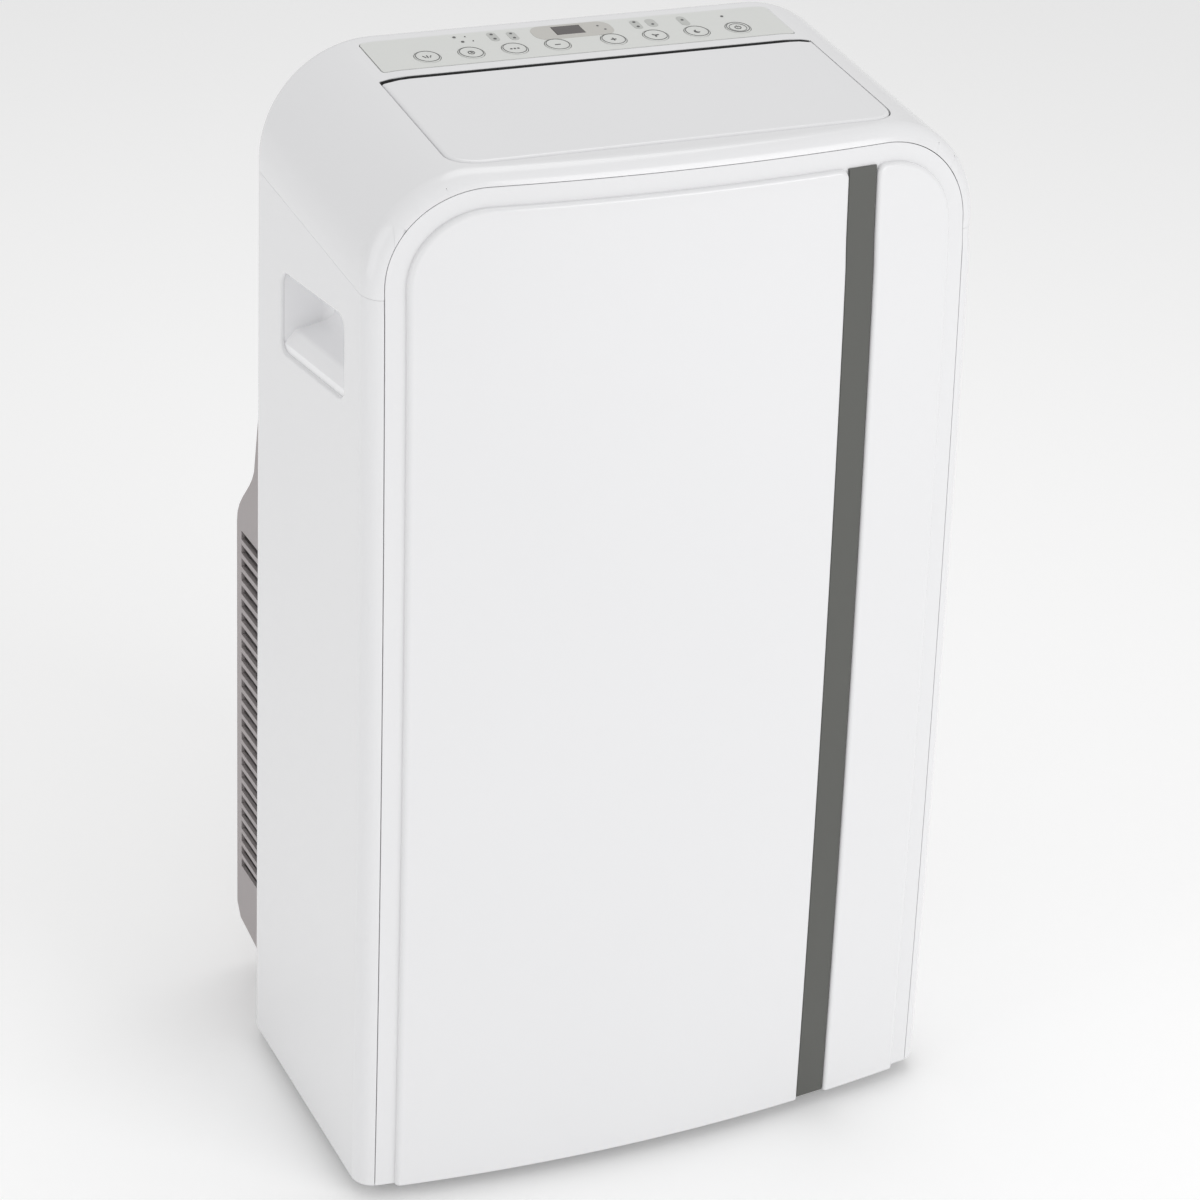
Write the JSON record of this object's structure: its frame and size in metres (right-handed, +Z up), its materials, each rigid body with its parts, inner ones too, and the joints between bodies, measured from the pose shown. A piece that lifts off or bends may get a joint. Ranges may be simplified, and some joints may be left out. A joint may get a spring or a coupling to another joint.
{
  "type": "portable air conditioner",
  "caption": "Portable air conditioner: white casing with bowed front and dark stripe, top outlet flap and round keys, handle recesses, grey rear cover with exhaust port, and hidden casters.",
  "frame": {"origin": "on the floor, at the middle of the footprint", "axes": "+X to the viewer's right when facing the front, -Y towards the viewer, +Z up"},
  "size_m": [0.444, 0.347, 0.7635],
  "materials": {
    "white_gloss_plastic": "glossy, white",
    "plate_plastic": "satin, pale grey-green",
    "warm_grey_plastic": "satin, warm grey",
    "stripe_plastic": "satin, dark grey",
    "smoked_window": "smoked, clear gloss",
    "dark_grey_plastic": "matt, dark grey",
    "black_plastic": "matt, black",
    "black_rubber": "matt",
    "zinc_plated_steel": "zinc plated",
    "fin_aluminium": "thin folded fins",
    "copper_pipe": "bare copper",
    "compressor_paint": "black paint",
    "circuit_board": "green lacquer"
  },
  "bodies": {
    "casing": {"base_pan": "dark_grey_plastic", "left_side_panel": "white_gloss_plastic", "right_side_panel": "white_gloss_plastic", "top_cover": "white_gloss_plastic", "front_panel": "white_gloss_plastic", "stripe_insert": "stripe_plastic", "rear_cover": "warm_grey_plastic", "left_handle_cup": "white_gloss_plastic", "right_handle_cup": "white_gloss_plastic", "control_plate": "plate_plastic", "display_window": "smoked_window", "control_board": "circuit_board", "outlet_duct": "black_plastic", "flap_motor": "zinc_plated_steel", "exhaust_collar": "dark_grey_plastic", "exhaust_duct": "black_plastic", "cord_gland": "black_rubber", "drip_tray": "black_plastic", "evaporator_coil": "fin_aluminium", "condenser_coil": "fin_aluminium", "compressor": "compressor_paint", "accumulator": "compressor_paint", "suction_pipe": "copper_pipe", "discharge_pipe": "copper_pipe", "capillary_coil": "copper_pipe", "partition_shelf": "zinc_plated_steel", "control_box": "zinc_plated_steel", "upper_fan_housing": "black_plastic", "lower_fan_housing": "black_plastic", "upper_fan_motor": "zinc_plated_steel", "lower_fan_motor": "zinc_plated_steel"},
    "flap": {"louver_flap": "white_gloss_plastic"},
    "key_swing": {"key_swing": "plate_plastic"},
    "key_timer": {"key_timer": "plate_plastic"},
    "key_mode": {"key_mode": "plate_plastic"},
    "key_minus": {"key_minus": "plate_plastic"},
    "key_plus": {"key_plus": "plate_plastic"},
    "key_fan": {"key_fan": "plate_plastic"},
    "key_sleep": {"key_sleep": "plate_plastic"},
    "key_power": {"key_power": "plate_plastic"},
    "vane_1": {"vane_1": "black_plastic"},
    "vane_2": {"vane_2": "black_plastic"},
    "vane_3": {"vane_3": "black_plastic"},
    "vane_4": {"vane_4": "black_plastic"},
    "vane_5": {"vane_5": "black_plastic"},
    "vane_link": {"vane_link": "black_plastic"},
    "upper_filter_grille": {"upper_filter_grille": "warm_grey_plastic"},
    "lower_filter_grille": {"lower_filter_grille": "warm_grey_plastic"},
    "upper_drain_plug": {"upper_drain_plug": "black_rubber"},
    "lower_drain_plug": {"lower_drain_plug": "black_rubber"},
    "upper_fan_wheel": {"upper_fan_wheel": "black_plastic"},
    "lower_fan_wheel": {"lower_fan_wheel": "black_plastic"},
    "caster_fork_front_left": {"caster_fork_front_left": "zinc_plated_steel"},
    "caster_wheel_front_left": {"caster_wheel_front_left": "black_rubber"},
    "caster_fork_front_right": {"caster_fork_front_right": "zinc_plated_steel"},
    "caster_wheel_front_right": {"caster_wheel_front_right": "black_rubber"},
    "caster_fork_rear_left": {"caster_fork_rear_left": "zinc_plated_steel"},
    "caster_wheel_rear_left": {"caster_wheel_rear_left": "black_rubber"},
    "caster_fork_rear_right": {"caster_fork_rear_right": "zinc_plated_steel"},
    "caster_wheel_rear_right": {"caster_wheel_rear_right": "black_rubber"}
  },
  "joints": [
    {"name": "flap_hinge", "type": "hinge", "parent": "casing", "child": "flap", "pos_m": [0, -0.007, 0.74878], "axis": [-1, 0, 0], "range_deg": [0, 70]},
    {"name": "key_swing_press", "type": "slide", "parent": "casing", "child": "key_swing", "axis": [0, 0, -1], "range_m": [0, 0.0006], "stiffness_N_per_m": 1500},
    {"name": "key_timer_press", "type": "slide", "parent": "casing", "child": "key_timer", "axis": [0, 0, -1], "range_m": [0, 0.0006], "stiffness_N_per_m": 1500},
    {"name": "key_mode_press", "type": "slide", "parent": "casing", "child": "key_mode", "axis": [0, 0, -1], "range_m": [0, 0.0006], "stiffness_N_per_m": 1500},
    {"name": "key_minus_press", "type": "slide", "parent": "casing", "child": "key_minus", "axis": [0, 0, -1], "range_m": [0, 0.0006], "stiffness_N_per_m": 1500},
    {"name": "key_plus_press", "type": "slide", "parent": "casing", "child": "key_plus", "axis": [0, 0, -1], "range_m": [0, 0.0006], "stiffness_N_per_m": 1500},
    {"name": "key_fan_press", "type": "slide", "parent": "casing", "child": "key_fan", "axis": [0, 0, -1], "range_m": [0, 0.0006], "stiffness_N_per_m": 1500},
    {"name": "key_sleep_press", "type": "slide", "parent": "casing", "child": "key_sleep", "axis": [0, 0, -1], "range_m": [0, 0.0006], "stiffness_N_per_m": 1500},
    {"name": "key_power_press", "type": "slide", "parent": "casing", "child": "key_power", "axis": [0, 0, -1], "range_m": [0, 0.0006], "stiffness_N_per_m": 1500},
    {"name": "vane_3_turn", "type": "hinge", "parent": "casing", "child": "vane_3", "pos_m": [0, -0.0635, 0.7], "axis": [0, 0, 1], "range_deg": [-25, 25]},
    {"name": "vane_1_turn", "type": "hinge", "parent": "casing", "child": "vane_1", "pos_m": [-0.112, -0.0635, 0.7], "axis": [0, 0, 1], "range_deg": [-25, 25]},
    {"name": "vane_2_turn", "type": "hinge", "parent": "casing", "child": "vane_2", "pos_m": [-0.056, -0.0635, 0.7], "axis": [0, 0, 1], "range_deg": [-25, 25]},
    {"name": "vane_4_turn", "type": "hinge", "parent": "casing", "child": "vane_4", "pos_m": [0.056, -0.0635, 0.7], "axis": [0, 0, 1], "range_deg": [-25, 25]},
    {"name": "vane_5_turn", "type": "hinge", "parent": "casing", "child": "vane_5", "pos_m": [0.112, -0.0635, 0.7], "axis": [0, 0, 1], "range_deg": [-25, 25]},
    {"name": "vane_link_slide", "type": "slide", "parent": "casing", "child": "vane_link", "axis": [1, 0, 0], "range_m": [-0.0061, 0.0061]},
    {"name": "upper_filter_grille_pull", "type": "slide", "parent": "casing", "child": "upper_filter_grille", "axis": [0, 1, 0], "range_m": [0, 0.05]},
    {"name": "lower_filter_grille_pull", "type": "slide", "parent": "casing", "child": "lower_filter_grille", "axis": [0, 1, 0], "range_m": [0, 0.05]},
    {"name": "upper_drain_plug_pull", "type": "slide", "parent": "casing", "child": "upper_drain_plug", "axis": [0, 1, 0], "range_m": [0, 0.02]},
    {"name": "lower_drain_plug_pull", "type": "slide", "parent": "casing", "child": "lower_drain_plug", "axis": [0, 1, 0], "range_m": [0, 0.02]},
    {"name": "upper_fan_spin", "type": "hinge", "parent": "casing", "child": "upper_fan_wheel", "pos_m": [0, -0.0295, 0.598], "axis": [0, 1, 0], "continuous": true},
    {"name": "lower_fan_spin", "type": "hinge", "parent": "casing", "child": "lower_fan_wheel", "pos_m": [0.078, 0.0105, 0.225], "axis": [0, 1, 0], "continuous": true},
    {"name": "caster_front_left_swivel", "type": "hinge", "parent": "casing", "child": "caster_fork_front_left", "pos_m": [-0.15, -0.0745, 0.03], "axis": [0, 0, 1], "continuous": true},
    {"name": "caster_front_left_roll", "type": "hinge", "parent": "caster_fork_front_left", "child": "caster_wheel_front_left", "pos_m": [-0.15, -0.0655, 0.014], "axis": [1, 0, 0], "continuous": true},
    {"name": "caster_front_right_swivel", "type": "hinge", "parent": "casing", "child": "caster_fork_front_right", "pos_m": [0.15, -0.0745, 0.03], "axis": [0, 0, 1], "continuous": true},
    {"name": "caster_front_right_roll", "type": "hinge", "parent": "caster_fork_front_right", "child": "caster_wheel_front_right", "pos_m": [0.15, -0.0655, 0.014], "axis": [1, 0, 0], "continuous": true},
    {"name": "caster_rear_left_swivel", "type": "hinge", "parent": "casing", "child": "caster_fork_rear_left", "pos_m": [-0.15, 0.0195, 0.03], "axis": [0, 0, 1], "continuous": true},
    {"name": "caster_rear_left_roll", "type": "hinge", "parent": "caster_fork_rear_left", "child": "caster_wheel_rear_left", "pos_m": [-0.15, 0.0285, 0.014], "axis": [1, 0, 0], "continuous": true},
    {"name": "caster_rear_right_swivel", "type": "hinge", "parent": "casing", "child": "caster_fork_rear_right", "pos_m": [0.15, 0.0195, 0.03], "axis": [0, 0, 1], "continuous": true},
    {"name": "caster_rear_right_roll", "type": "hinge", "parent": "caster_fork_rear_right", "child": "caster_wheel_rear_right", "pos_m": [0.15, 0.0285, 0.014], "axis": [1, 0, 0], "continuous": true}
  ],
  "couplings": [
    {"joint": "vane_1_turn", "follows": "vane_link_slide", "rad_per_m": -71.429},
    {"joint": "vane_2_turn", "follows": "vane_link_slide", "rad_per_m": -71.429},
    {"joint": "vane_3_turn", "follows": "vane_link_slide", "rad_per_m": -71.429},
    {"joint": "vane_4_turn", "follows": "vane_link_slide", "rad_per_m": -71.429},
    {"joint": "vane_5_turn", "follows": "vane_link_slide", "rad_per_m": -71.429}
  ]
}
